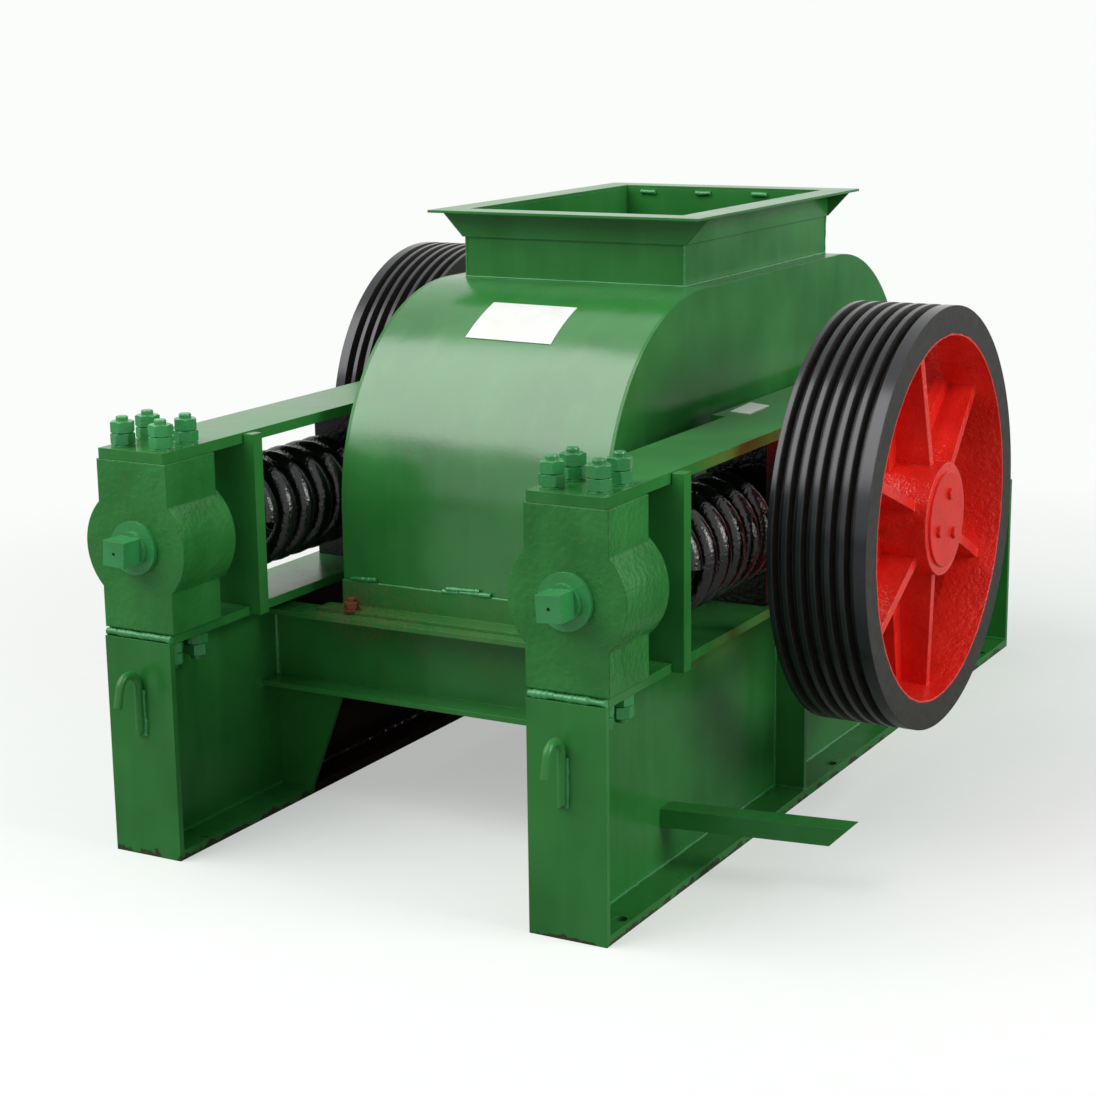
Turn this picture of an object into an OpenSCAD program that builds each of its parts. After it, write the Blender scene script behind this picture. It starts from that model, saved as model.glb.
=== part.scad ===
// Double toothed roller crusher, mm. X runs across the machine, the sprung front roller faces -Y, Z is up.
// Ground level is z = 0 and the origin lies midway between the outermost anchor holes.

/* [Frame] */
// how far the girders reach beyond the rear crossbeam's web
frame_tail = 122; // [110:1:140]
// distance from the machine's middle to each girder's web
girder_x = 419; // [415:1:460]
// height of each girder
girder_height = 406; // [396:1:420]
// flange width of each girder
flange_width = 140; // [136:1:150]
// flange thickness of each girder
flange_thick = 16.5; // [12:0.5:20]
// web thickness of each girder
web_thick = 10.5; // [8:0.5:14]
// thickness of the plates that close the girder ends
end_plate = 12; // [8:1:16]
// how far the end plates stop short of the girder's top
end_plate_drop = 14; // [10:1:20]
// thickness of the stiffeners beside the web
stiffener_thick = 10; // [6:1:14]
// radius of each anchor hole
anchor_hole_r = 11; // [8:0.5:13]
// distance from the web's middle to the anchor holes
anchor_out = 52; // [48:1:56]
// distance from the frame's front to the first anchor hole
anchor_end = 82; // [70:1:90]
// distance from the frame's rear to the last anchor hole
anchor_tail = 138; // [130:1:150]

/* [Crossbeams] */
// height of the channel section
channel_height = 150; // [140:1:165]
// flange length of the channel section
channel_flange = 63; // [50:1:70]
// web thickness of the channel section
channel_web = 8.5; // [6:0.5:12]
// flange thickness of the channel section
channel_thick = 10; // [8:0.5:12]
// how far the crossbeams lie below the girders' upper face
crossbeam_drop = 34; // [26:1:46]
// how far a crossbeam's web stands out from the housing's end sheet
crossbeam_set = 23; // [18:1:30]
// thickness of the corner plates under the crossbeams
gusset_thick = 10; // [6:1:12]
// width of a corner plate under the crossbeam, measured from the girder's flange edge
gusset_reach = 85; // [60:1:110]

/* [Tension blocks] */
// half the width of the cast block
block_half = 74; // [72:1:80]
// height of the cast block
block_height = 296; // [290:1:320]
// distance from the frame's front to the block's front face
block_front = 8; // [6:1:20]
// depth of the block's straight part
block_depth = 134; // [128:1:136]
// radius of the round boss round the screw
boss_r = 105; // [95:1:115]
// depth of the round boss
boss_depth = 144; // [140:1:148]
// height of the screw's axis above the girder
screw_rise = 147; // [140:1:155]
// radius of the adjusting screw
screw_r = 30; // [24:0.5:34]
// width across flats of the screw's square end
square_af = 44; // [38:1:48]
// how far the square end stands out of the block
square_out = 58; // [50:1:70]
// radius of the round collar in front of the block
collar_r = 47; // [44:1:52]
// radius of the lock nut behind the block
lock_nut_r = 50; // [44:1:56]
// length of the lock nut
lock_nut_length = 38; // [30:1:45]
// centre distance of the four block studs, across
stud_x = 82; // [70:1:90]
// centre distance of the four block studs, along the girder
stud_y = 68; // [56:1:76]
// radius of the block studs' holes
stud_hole_r = 13; // [12.5:0.25:14]

/* [Top plates] */
// thickness of the long plate on top
top_thick = 19; // [16:0.5:24]
// half the width of the long plate
top_half = 69; // [66:1:74]
// where the plate grows wider, from the frame's front
top_step = 742; // [700:1:800]
// how much wider the plate is on its inner side beyond the step
top_extra = 30; // [10:1:36]
// gap between the fixed bearing housing and the upright at the plate's rear end
post_gap = 14; // [8:1:40]
// thickness of the upright that carries the plate's rear end
post_thick = 26; // [16:1:30]

/* [Springs] */
// distance from the frame's front to the front of the spring's seat plate
seat_y = 232; // [228:1:240]
// thickness of the spring's seat plate
seat_thick = 26; // [20:1:30]
// how far the seat plate's ears stand out past the flange edge
seat_ear = 22; // [15:1:26]
// outer radius of the coil spring
spring_r = 102; // [90:1:108]
// radius of the spring's bar
spring_wire_r = 19; // [14:0.5:20]
// number of turns of the spring
spring_turns = 6; // [4:1:7]
// radius of the round guide that each spring end sits on
pilot_r = 58; // [50:1:60]
// length of that guide
pilot_length = 30; // [20:1:40]

/* [Bearing housings] */
// distance from the frame's front to the front roller's axis
front_axis = 805; // [800:1:812]
// distance between the two roller axes
axis_gap = 655; // [635:1:675]
// height of both axes above the girders
axis_rise = 150; // [146:1:156]
// half the length of a bearing housing along the girder
chock_half = 170; // [160:1:175]
// half the thickness of a bearing housing
chock_thick = 58; // [50:1:64]
// radius of the round bearing seat on each housing
chock_ring_r = 138; // [125:1:140]
// how far the round bearing seat stands out of the housing
chock_ring_out = 16; // [8:1:22]
// travel of the sprung front roller
travel = 40; // [20:1:48]
// running clearance of sliding pieces
run_gap = 0.3; // [0.25:0.05:0.6]
// radial clearance of the shafts in their bearings
bearing_gap = 0.1; // [0.05:0.01:0.2]
// half the width of the stop behind the sliding housing
stop_half = 45; // [30:1:56]
// length of that stop
stop_length = 40; // [30:1:60]
// height of that stop
stop_height = 56; // [40:1:90]

/* [Rollers] */
// radius over the tips of the teeth
tip_r = 300; // [270:1:302]
// radius of the roller between the teeth
drum_r = 262; // [240:1:266]
// half the length of the toothed part
drum_half = 250; // [220:1:254]
// number of toothed rings on a roller
ring_count = 8; // [4:1:10]
// number of teeth on one ring
tooth_count = 16; // [10:1:20]
// thickness of the roller's shell
drum_shell = 60; // [40:1:80]
// thickness of the hub disc at each end of the roller
drum_disc = 50; // [30:1:70]
// radius of the roller shaft in its bearings
shaft_r = 60; // [50:1:65]
// radius of the shaft inside the roller
shaft_core_r = 72; // [66:1:78]

/* [Pulleys] */
// outer radius of the belt pulley
pulley_r = 375; // [350:1:380]
// distance from the machine's middle to the pulley's outer face
pulley_face = 742; // [738:1:760]
// number of belt grooves
groove_count = 6; // [4:1:6]
// distance between belt grooves
groove_pitch = 25.5; // [24:0.25:27]
// distance from the rim's inner face to the first groove's middle
groove_first = 17.25; // [15:0.25:20]
// width of the plain edge beyond the last groove
rim_edge = 22; // [16:0.5:26]
// depth of a belt groove
groove_depth = 18; // [14:1:22]
// groove width at the rim
groove_mouth = 16.5; // [14:0.5:19]
// groove width at its floor
groove_floor = 8.5; // [7:0.5:12]
// inner radius of the rim
rim_inner = 323; // [316:1:328]
// radius of the pulley's hub
hub_r = 100; // [88:1:110]
// how far the hub stands out past the pulley's face
hub_proud = 2; // [0:1:8]
// number of spokes
spoke_count = 6; // [4:1:8]
// angle of the first spoke above level, towards the rear
spoke_turn = 37; // [0:1:60]
// width of a spoke at the hub
spoke_hub = 90; // [70:1:95]
// width of a spoke at the rim
spoke_rim = 62; // [50:1:90]
// thickness of a spoke's flat
spoke_thick = 20; // [12:1:26]
// thickness of the rib along a spoke
rib_thick = 18; // [12:1:24]
// how far the outer rib starts behind the pulley's face
rib_recess = 36; // [28:1:50]
// radius of the cap on the shaft's end
cap_r = 84; // [76:1:90]
// thickness of that cap
cap_thick = 10; // [8:1:16]

/* [Housing] */
// half the width of the housing over its side plates
house_half = 273; // [262:1:274]
// plate thickness of the housing
house_plate = 6; // [5:0.5:8]
// radius of the two rounded shoulders about the roller axes
shoulder_r = 385; // [375:1:395]
// leg length of the angle under the housing's front and rear
base_leg = 50; // [40:1:60]
// thickness of that angle
base_thick = 6; // [5:0.5:8]
// how far above the axes the lower and upper side plates meet
seam_rise = 84; // [80:1:100]
// clearance round the shaft in the side plates
shaft_slot = 16; // [10:1:22]

/* [Hopper] */
// half the width of the feed opening's box
throat_half = 232; // [215:1:240]
// distance from the frame's front to the box's front wall
throat_front = 812; // [800:1:830]
// length of the box along the machine
throat_length = 672; // [640:1:690]
// height of the rim above the housing's roof
rim_rise = 130; // [115:1:145]
// leg length of the rim's angle
rim_leg = 53; // [44:1:58]
// thickness of the rim's angle
rim_thick = 5; // [4:0.5:7]

/* [Small parts] */
// radius of the bent bar of the lifting hooks
hook_bar_r = 7.5; // [6:0.5:9]
// radius of the hook's bend
hook_bend_r = 24; // [20:1:30]
// height of the hook's lower end above ground
hook_low = 228; // [215:1:240]
// height of the hook's bend centre above ground
hook_high = 312; // [300:1:325]
// angle that the hook's bend covers
hook_turn = 165; // [150:1:180]
// length of the hook's free leg
hook_tip = 34; // [25:1:50]
// length of the guard bar on the right girder
guard_length = 325; // [250:5:360]
// height of the guard bar's upper face above ground
guard_z = 120; // [100:1:140]
// distance from the frame's front to the guard bar
guard_y = 318; // [300:1:340]
// length of the guard bar's flat leg
guard_leg = 45; // [35:1:50]
// length of its upright leg
guard_drop = 32; // [25:1:40]
// thickness of the guard bar
guard_thick = 5; // [3:0.5:6]
// swing of the guard bar from square
guard_swing = 8.4; // [0:0.1:10]
// how much further the bar's far edge reaches than its near edge
guard_skew = 7; // [0:1:12]

/* [Hidden] */

$fn = 96;
eps = 0.01;
mid_length = front_axis + axis_gap / 2;
frame_length = 2 * mid_length - front_axis + shoulder_r + crossbeam_set + frame_tail;
anchor_pitch = (frame_length - anchor_end - anchor_tail) / 2;
front = -anchor_end - anchor_pitch;
rear = front + frame_length;
beam_front = front + end_plate;
beam_rear = rear - end_plate;
block_y = front + block_front;
block_mid = block_y + block_depth / 2;
block_top = girder_height + block_height;
screw_z = girder_height + screw_rise;
front_y = front + front_axis;
rear_y = front_y + axis_gap;
mid_y = (front_y + rear_y) / 2;
seat_front = front + seat_y;
seat_rear = seat_front + seat_thick;
chock_front = front_y - chock_half;
axis_z = girder_height + axis_rise;
crossbeam_top = girder_height - crossbeam_drop;
side_joint = axis_z + seam_rise;
house_top = axis_z + shoulder_r;
rim_top = house_top + rim_rise;
pulley_width = groove_first + (groove_count - 1) * groove_pitch + groove_mouth / 2 + rim_edge;
house_y0 = front_y - shoulder_r;
house_y1 = 2 * mid_y - house_y0;
throat_y0 = front + throat_front;
throat_y1 = throat_y0 + throat_length;
web_face = girder_x - web_thick / 2;
inner_edge = girder_x - flange_width / 2;
roof_y0 = throat_y0 - 7;
roof_y1 = throat_y1 + 7;
top_y1 = rear_y + chock_half + post_gap + post_thick;
green = [0.20, 0.42, 0.22];
black = [0.05, 0.05, 0.055];
red = [0.80, 0.13, 0.10];
steel = [0.45, 0.44, 0.42];

// Plain box from its low corner to its high corner.
module block(low, high) {
    translate(low)
    cube([high[0] - low[0], high[1] - low[1], high[2] - low[2]]);
}

// Mirror to the left side when side is -1.
module at_side(side) {
    mirror([side < 0 ? 1 : 0, 0, 0])
    children();
}

// Turn a round piece so that it runs along X from x.
module along_x(x, y, z) {
    translate([x, y, z])
    rotate([0, 90, 0])
    children();
}

// Turn a round piece so that it runs along Y from y.
module along_y(x, y, z) {
    translate([x, y, z])
    rotate([-90, 0, 0])
    children();
}

// Girder with stiffeners under both roller axes, the sliding housing's stop and the top plate's rear upright.
module girder() {
    half = flange_width / 2;
    difference() {
        union() {
            block([girder_x - half, beam_front, 0], [girder_x + half, beam_rear, flange_thick]);
            block([girder_x - web_thick / 2, beam_front, flange_thick - eps],
                [girder_x + web_thick / 2, beam_rear, girder_height - flange_thick + eps]);
            block([girder_x - half, beam_front, girder_height - flange_thick],
                [girder_x + half, beam_rear, girder_height]);
            for (y = [front_y, rear_y])
                block([girder_x, y - stiffener_thick / 2, flange_thick - eps],
                    [girder_x + half - 4, y + stiffener_thick / 2, girder_height - flange_thick + eps]);
            block([girder_x - stop_half, chock_front + 2 * chock_half + run_gap, girder_height - eps],
                [girder_x + stop_half, chock_front + 2 * chock_half + run_gap + stop_length,
                    girder_height + stop_height]);
            block([girder_x - top_half, top_y1 - post_thick, girder_height - eps],
                [girder_x + top_half, top_y1, block_top]);
        }
        for (y = [-anchor_pitch, 0, anchor_pitch])
            translate([girder_x + anchor_out, y, -1])
            cylinder(r = anchor_hole_r, h = flange_thick + 2, $fn = 32);
        for (sx = [-1, 1], sy = [-1, 1])
            translate([girder_x + sx * stud_x / 2, block_mid + sy * stud_y / 2, girder_height - flange_thick - 1])
            cylinder(r = stud_hole_r, h = flange_thick + 2, $fn = 32);
    }
}

module front_plate() {
    block([girder_x - flange_width / 2, front, 0],
        [girder_x + flange_width / 2, beam_front, girder_height - end_plate_drop]);
}

module rear_plate() {
    block([girder_x - flange_width / 2, beam_rear, 0],
        [girder_x + flange_width / 2, rear, girder_height - end_plate_drop]);
}

// Channel between the girder webs, flanges pointing outward, with a slanted corner plate at each end.
module crossbeam() {
    y = house_y0 - crossbeam_set;
    low = crossbeam_top - channel_height;
    color(green)
    union() {
        block([-web_face, y, low], [web_face, y + channel_web, crossbeam_top]);
        block([-web_face, y + channel_web - channel_flange, low], [web_face, y + eps, low + channel_thick]);
        block([-web_face, y + channel_web - channel_flange, crossbeam_top - channel_thick],
            [web_face, y + eps, crossbeam_top]);
        for (side = [-1, 1])
            at_side(side)
            translate([0, y + channel_web, 0])
            rotate([90, 0, 0])
            linear_extrude(gusset_thick)
            polygon([
                [web_face, flange_thick],
                [inner_edge - 4, flange_thick],
                [inner_edge - gusset_reach, low + eps],
                [web_face, low + eps]
            ]);
    }
}

// Cast block with its round boss and the screw's bore.
module tension_block() {
    color(green)
    difference() {
        union() {
            block([girder_x - block_half, block_y, girder_height],
                [girder_x + block_half, block_y + block_depth, block_top]);
            along_y(girder_x, block_y, screw_z)
            cylinder(r = boss_r, h = boss_depth);
        }
        along_y(girder_x, block_y - 1, screw_z)
        cylinder(r = screw_r + run_gap, h = boss_depth + 2);
        for (sx = [-1, 1], sy = [-1, 1])
            translate([girder_x + sx * stud_x / 2, block_mid + sy * stud_y / 2, girder_height - 1])
            cylinder(r = stud_hole_r, h = block_height + 2, $fn = 32);
    }
}

// Screw with square end, front collar and lock nut, pressing on the spring's seat plate.
module adjusting_screw() {
    boss_back = block_y + boss_depth;
    color(green)
    union() {
        along_y(girder_x, block_y - 16, screw_z)
        cylinder(r = screw_r, h = seat_front - block_y + 16);
        along_y(girder_x, block_y - 8, screw_z)
        cylinder(r = collar_r, h = 8);
        along_y(girder_x, boss_back, screw_z)
        cylinder(r = lock_nut_r, h = lock_nut_length);
        difference() {
            translate([girder_x, block_y - square_out, screw_z])
            rotate([0, -4, 0])
            translate([-square_af / 2, 0, -square_af / 2])
            cube([square_af, square_out - 7, square_af]);
            along_y(girder_x, block_y - square_out - 1, screw_z)
            cylinder(r = 3, h = 9, $fn = 24);
        }
    }
}

// Seat plate between flange and top plate, with ears that grip both.
module spring_seat() {
    half = flange_width / 2 + 0.5;
    ear = flange_width / 2 + seat_ear;
    color(green)
    union() {
        block([girder_x - half + 4, seat_front, girder_height],
            [girder_x + half - 4, seat_rear, block_top]);
        for (s = [-1, 1])
            translate([girder_x + s * (half + ear) / 2 - (ear - half) / 2, seat_front, girder_height - 14])
            cube([ear - half, seat_thick, block_height + 14 + top_thick - 2]);
        for (s = [-1, 1])
            translate([girder_x + s * (half - 2) - 3, seat_front, girder_height + 1])
            cube([6, seat_thick, block_height - 2]);
        along_y(girder_x, seat_rear, screw_z)
        cylinder(r = pilot_r, h = pilot_length);
    }
}

// Helical spring between the seat plate and the sliding bearing housing.
module spring() {
    length = chock_front - seat_rear - 2 * run_gap;
    coil_r = spring_r - spring_wire_r;
    steps = 24;
    sides = 12;
    rise = length - 2 * spring_wire_r;
    count = spring_turns * steps;
    function ring(k, j) = let(a = 360 * k / steps, b = 360 * j / sides,
        r = coil_r + spring_wire_r * cos(b))
        [r * cos(a), r * sin(a), spring_wire_r + rise * k / count + spring_wire_r * sin(b)];
    points = [for (k = [0:count], j = [0:sides - 1]) ring(k, j)];
    walls = [for (k = [0:count - 1], j = [0:sides - 1])
        [k * sides + j, k * sides + (j + 1) % sides, (k + 1) * sides + (j + 1) % sides, (k + 1) * sides + j]];
    caps = [[for (j = [sides - 1:-1:0]) j], [for (j = [0:sides - 1]) count * sides + j]];
    color(black)
    along_y(girder_x, seat_rear + run_gap, screw_z)
    polyhedron(points = points, faces = concat(walls, caps), convexity = 10);
}

// Long plate over the block and both bearing housings.
module top_plate() {
    color(green)
    difference() {
        union() {
            block([girder_x - top_half, block_y, block_top],
                [girder_x + top_half, top_y1, block_top + top_thick]);
            block([girder_x - top_half - top_extra, front + top_step, block_top],
                [girder_x, top_y1, block_top + top_thick]);
        }
        for (sx = [-1, 1], sy = [-1, 1])
            translate([girder_x + sx * stud_x / 2, block_mid + sy * stud_y / 2, block_top - 1])
            cylinder(r = stud_hole_r, h = top_thick + 2, $fn = 32);
    }
}

// Cast bearing housing with a round seat on both faces.
module bearing_housing(y, low, high, nose) {
    difference() {
        union() {
            block([girder_x - chock_thick, y - chock_half, low], [girder_x + chock_thick, y + chock_half, high]);
            along_x(girder_x - chock_thick - chock_ring_out, y, axis_z)
            cylinder(r = chock_ring_r, h = 2 * (chock_thick + chock_ring_out));
            if (nose)
                along_y(girder_x, y - chock_half - pilot_length, screw_z)
                cylinder(r = pilot_r, h = pilot_length + 1);
        }
        along_x(girder_x - chock_thick - chock_ring_out - 1, y, axis_z)
        cylinder(r = shaft_r + bearing_gap, h = 2 * (chock_thick + chock_ring_out) + 2);
    }
}

module sliding_bearing() {
    color(black)
    bearing_housing(front_y, girder_height + run_gap, block_top - 2 * run_gap, true);
}

module fixed_bearing() {
    color(black)
    bearing_housing(rear_y, girder_height, block_top, false);
}

// Outline of one toothed ring, root to tip and back for each tooth.
function tooth_ring(turn) = [for (i = [0:tooth_count - 1], c = [0:3])
    let(step = 360 / tooth_count, a = turn + i * step, r = c == 1 || c == 2 ? tip_r : drum_r - 2,
        part = [0, 0.38, 0.62, 1][c])
    if (c < 3 || part < 1) [r * cos(a + part * step), r * sin(a + part * step)]];

// Toothed drum: a shell with end discs, carrying rings of teeth set half a pitch apart.
module roller(y) {
    ring_pitch = 2 * drum_half / ring_count;
    color(steel)
    difference() {
        union() {
            along_x(-drum_half, y, axis_z)
            cylinder(r = drum_r, h = 2 * drum_half);
            for (i = [0:ring_count - 1])
                along_x(-drum_half + (i + 0.2) * ring_pitch, y, axis_z)
                linear_extrude(ring_pitch * 0.6)
                polygon(tooth_ring(i % 2 == 0 ? 0 : 180 / tooth_count));
        }
        along_x(-drum_half + drum_disc, y, axis_z)
        cylinder(r = drum_r - drum_shell, h = 2 * (drum_half - drum_disc));
        along_x(-drum_half - 1, y, axis_z)
        cylinder(r = shaft_core_r, h = 2 * drum_half + 2);
    }
}

// Shaft on one axis, stepped at the bearings and reaching into the pulley's hub.
module shaft(y) {
    inner = girder_x - chock_thick - chock_ring_out - 4;
    color(steel)
    union() {
        along_x(-inner, y, axis_z)
        cylinder(r = shaft_core_r, h = 2 * inner);
        along_x(-(girder_x + chock_thick + chock_ring_out), y, axis_z)
        cylinder(r = shaft_r, h = girder_x + chock_thick + chock_ring_out + pulley_face);
    }
}

// Groove profile of the rim, from the inner face outward.
function groove_points() = [for (i = [0:groove_count - 1], c = [0:3])
    let(mid = groove_first + i * groove_pitch,
        off = [-groove_mouth, -groove_floor, groove_floor, groove_mouth][c] / 2)
    [c == 0 || c == 3 ? pulley_r : pulley_r - groove_depth, mid + off]];

// Grooved rim, hub and ribbed spokes of the belt pulley on the right.
module pulley(y) {
    hub_back = pulley_face - pulley_width;
    spoke_mid = pulley_width / 2 - 6;
    along_x(hub_back, y, axis_z)
    difference() {
        union() {
            rotate_extrude($fn = 144)
            polygon(concat(
                [[rim_inner, 0], [pulley_r, 0]],
                groove_points(),
                [[pulley_r, pulley_width], [rim_inner, pulley_width], [rim_inner - 8, pulley_width / 2]]
            ));
            cylinder(r = hub_r, h = pulley_width + hub_proud);
            for (i = [0:spoke_count - 1])
                rotate([0, 0, i * 360 / spoke_count + 90 + spoke_turn]) {
                    translate([0, 0, spoke_mid - spoke_thick / 2])
                    linear_extrude(spoke_thick)
                    polygon([
                        [hub_r - 20, -spoke_hub / 2], [rim_inner + 2, -spoke_rim / 2],
                        [rim_inner + 2, spoke_rim / 2], [hub_r - 20, spoke_hub / 2]
                    ]);
                    translate([0, rib_thick / 2, 0])
                    rotate([90, 0, 0])
                    linear_extrude(rib_thick)
                    polygon([
                        [hub_r - 20, rib_recess - 17], [rim_inner + 2, rib_recess],
                        [rim_inner + 2, pulley_width - rib_recess], [hub_r - 20, pulley_width - rib_recess + 17]
                    ]);
                }
        }
        translate([0, 0, -1])
        cylinder(r = shaft_r, h = pulley_width + 9);
    }
}

module hub_cap(y) {
    along_x(pulley_face + hub_proud, y, axis_z)
    cylinder(r = cap_r, h = cap_thick);
}

// Outline of the housing seen from the side: shoulders about both roller axes and a flat roof between them.
module housing_outline(inset) {
    for (y = [front_y, rear_y])
        translate([y, axis_z])
        circle(r = shoulder_r - inset, $fn = 144);
    translate([front_y, axis_z])
    square([axis_gap, shoulder_r - inset]);
    translate([house_y0 + inset, crossbeam_top])
    square([house_y1 - house_y0 - 2 * inset, axis_z - crossbeam_top]);
}

// Bent sheet that follows the outline from y0 to y1.
module outline_sheet(y0, y1) {
    width = 2 * (house_half - house_plate);
    translate([-width / 2, 0, 0])
    rotate([90, 0, 90])
    linear_extrude(width)
    intersection() {
        difference() {
            housing_outline(0);
            housing_outline(house_plate);
        }
        translate([y0, crossbeam_top])
        square([y1 - y0, house_top]);
    }
}

// Roof of the housing with the feed opening.
module roof() {
    color(green)
    difference() {
        outline_sheet(roof_y0, roof_y1);
        block([-throat_half + house_plate, throat_y0 + house_plate, axis_z],
            [throat_half - house_plate, throat_y1 - house_plate, house_top + 1]);
    }
}

// Upper side plate with both rounded shoulders.
module side_plate() {
    color(green)
    translate([house_half - house_plate, 0, 0])
    rotate([90, 0, 90])
    linear_extrude(house_plate)
    intersection() {
        housing_outline(0);
        translate([house_y0 - 1, side_joint])
        square([house_y1 - house_y0 + 2, house_top]);
    }
}

// Lower side plate, notched from above for both shafts.
module skirt_plate() {
    gap = shaft_core_r + shaft_slot;
    color(green)
    translate([house_half - house_plate, 0, 0])
    rotate([90, 0, 90])
    linear_extrude(house_plate)
    difference() {
        intersection() {
            housing_outline(0);
            translate([house_y0 - 1, crossbeam_top])
            square([house_y1 - house_y0 + 2, side_joint - crossbeam_top]);
        }
        translate([front_y - travel - gap, axis_z - gap])
        square([travel + 2 * gap, side_joint]);
        translate([rear_y - gap, axis_z - gap])
        square([2 * gap, side_joint]);
    }
}

// Angle that ties the housing's lower edge to the crossbeam.
module base_angle() {
    color(green)
    union() {
        block([-house_half, house_y0 - base_thick, crossbeam_top],
            [house_half, house_y0, crossbeam_top + base_leg]);
        block([-house_half - 28, house_y0 - base_leg, crossbeam_top],
            [house_half + 28, house_y0 - base_thick + eps, crossbeam_top + base_thick]);
    }
}

// Four walls of the feed box, their lower edges cut to the housing's outline.
module hopper_walls() {
    color(green)
    difference() {
        block([-throat_half, throat_y0, house_top - 40], [throat_half, throat_y1, rim_top - rim_thick]);
        block([-throat_half + house_plate, throat_y0 + house_plate, house_top - 41],
            [throat_half - house_plate, throat_y1 - house_plate, rim_top + 1]);
        translate([-throat_half - 1, 0, 0])
        rotate([90, 0, 90])
        linear_extrude(2 * throat_half + 2)
        housing_outline(0);
    }
}

// Rim of four angles: flat ring on top, upright legs against the box, slanted ends front and rear.
module hopper_ring() {
    outer = throat_half + rim_leg;
    color(green)
    union() {
        difference() {
            block([-outer, throat_y0 - rim_leg, rim_top - rim_thick], [outer, throat_y1 + rim_leg, rim_top]);
            block([-throat_half + house_plate, throat_y0 + house_plate, rim_top - rim_thick - 1],
                [throat_half - house_plate, throat_y1 - house_plate, rim_top + 1]);
        }
        for (s = [-1, 1])
            translate([s > 0 ? throat_half : -throat_half - rim_thick, throat_y0, rim_top - rim_leg])
            cube([rim_thick, throat_y1 - throat_y0, rim_leg - rim_thick + eps]);
        for (y = [throat_y0, throat_y1 + rim_thick])
            translate([0, y, 0])
            rotate([90, 0, 0])
            linear_extrude(rim_thick)
            polygon([
                [-outer + 2, rim_top - rim_thick + eps],
                [-throat_half - rim_thick, rim_top - rim_leg],
                [throat_half + rim_thick, rim_top - rim_leg],
                [outer - 2, rim_top - rim_thick + eps]
            ]);
    }
}

// Bent bar hook on the front plate, open towards the front.
module lifting_hook() {
    y = front - hook_bar_r;
    color(green)
    union() {
        translate([0, y, hook_low])
        cylinder(r = hook_bar_r, h = hook_high - hook_low, $fn = 32);
        translate([0, y - hook_bend_r, hook_high])
        rotate([90, 0, 90])
        rotate_extrude(angle = hook_turn, $fn = 48)
        translate([hook_bend_r, 0])
        circle(r = hook_bar_r, $fn = 32);
        translate([0, y - hook_bend_r + hook_bend_r * cos(hook_turn), hook_high + hook_bend_r * sin(hook_turn)])
        rotate([hook_turn, 0, 0])
        translate([0, 0, -1.5])
        cylinder(r = hook_bar_r - 0.1, h = hook_tip + 1.5, $fn = 32);
    }
}

// Angle bar welded to the right girder's web for the belt guard, both legs cut by one slanted plane.
module guard_angle() {
    tail = guard_leg / 2;
    color(green)
    translate([girder_x + web_thick / 2, front + guard_y, guard_z])
    difference() {
        rotate([0, 0, guard_swing])
        difference() {
            union() {
                translate([-tail, 0, -guard_thick])
                cube([guard_length + tail + guard_skew + 1, guard_leg, guard_thick]);
                translate([-tail, 0, -guard_drop])
                cube([guard_length + tail + guard_skew + 1, guard_thick, guard_drop]);
            }
            translate([guard_length, 0, 0])
            rotate([0, 45, -atan(guard_skew / guard_leg)])
            translate([0, -guard_leg, -3 * guard_leg])
            cube([3 * guard_leg, 3 * guard_leg, 6 * guard_leg]);
        }
        translate([-3 * tail, -tail, -2 * guard_drop])
        cube([3 * tail, guard_leg + 2 * tail, 3 * guard_drop]);
    }
}

module girder_left() {
    color(green)
    at_side(-1)
    girder();
}

module girder_right() {
    color(green)
    girder();
}

module front_plate_left() {
    color(green)
    at_side(-1)
    front_plate();
}

module front_plate_right() {
    color(green)
    front_plate();
}

module rear_plate_left() {
    color(green)
    at_side(-1)
    rear_plate();
}

module rear_plate_right() {
    color(green)
    rear_plate();
}

module crossbeam_front() {
    crossbeam();
}

module crossbeam_rear() {
    translate([0, 2 * mid_y, 0])
    mirror([0, 1, 0])
    crossbeam();
}

module tension_block_left() {
    at_side(-1)
    tension_block();
}

module tension_block_right() {
    tension_block();
}

module adjusting_screw_left() {
    at_side(-1)
    adjusting_screw();
}

module adjusting_screw_right() {
    adjusting_screw();
}

module spring_seat_left() {
    at_side(-1)
    spring_seat();
}

module spring_seat_right() {
    spring_seat();
}

module spring_left() {
    translate([-2 * girder_x, 0, 0])
    spring();
}

module spring_right() {
    spring();
}

module top_plate_left() {
    at_side(-1)
    top_plate();
}

module top_plate_right() {
    top_plate();
}

module sliding_bearing_left() {
    at_side(-1)
    sliding_bearing();
}

module sliding_bearing_right() {
    sliding_bearing();
}

module fixed_bearing_left() {
    at_side(-1)
    fixed_bearing();
}

module fixed_bearing_right() {
    fixed_bearing();
}

module front_roller() {
    roller(front_y);
}

module front_shaft() {
    shaft(front_y);
}

module rear_roller() {
    roller(rear_y);
}

module rear_shaft() {
    at_side(-1)
    shaft(rear_y);
}

module pulley_right() {
    color(black)
    pulley(front_y);
}

module pulley_left() {
    color(black)
    at_side(-1)
    pulley(rear_y);
}

module hub_cap_right() {
    color(red)
    hub_cap(front_y);
}

module hub_cap_left() {
    color(red)
    at_side(-1)
    hub_cap(rear_y);
}

module housing_front() {
    color(green)
    outline_sheet(house_y0 - 1, roof_y0);
}

module housing_top() {
    roof();
}

module housing_rear() {
    color(green)
    outline_sheet(roof_y1, house_y1 + 1);
}

module housing_side_left() {
    at_side(-1)
    side_plate();
}

module housing_side_right() {
    side_plate();
}

module housing_skirt_left() {
    at_side(-1)
    skirt_plate();
}

module housing_skirt_right() {
    skirt_plate();
}

module base_angle_front() {
    base_angle();
}

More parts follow.
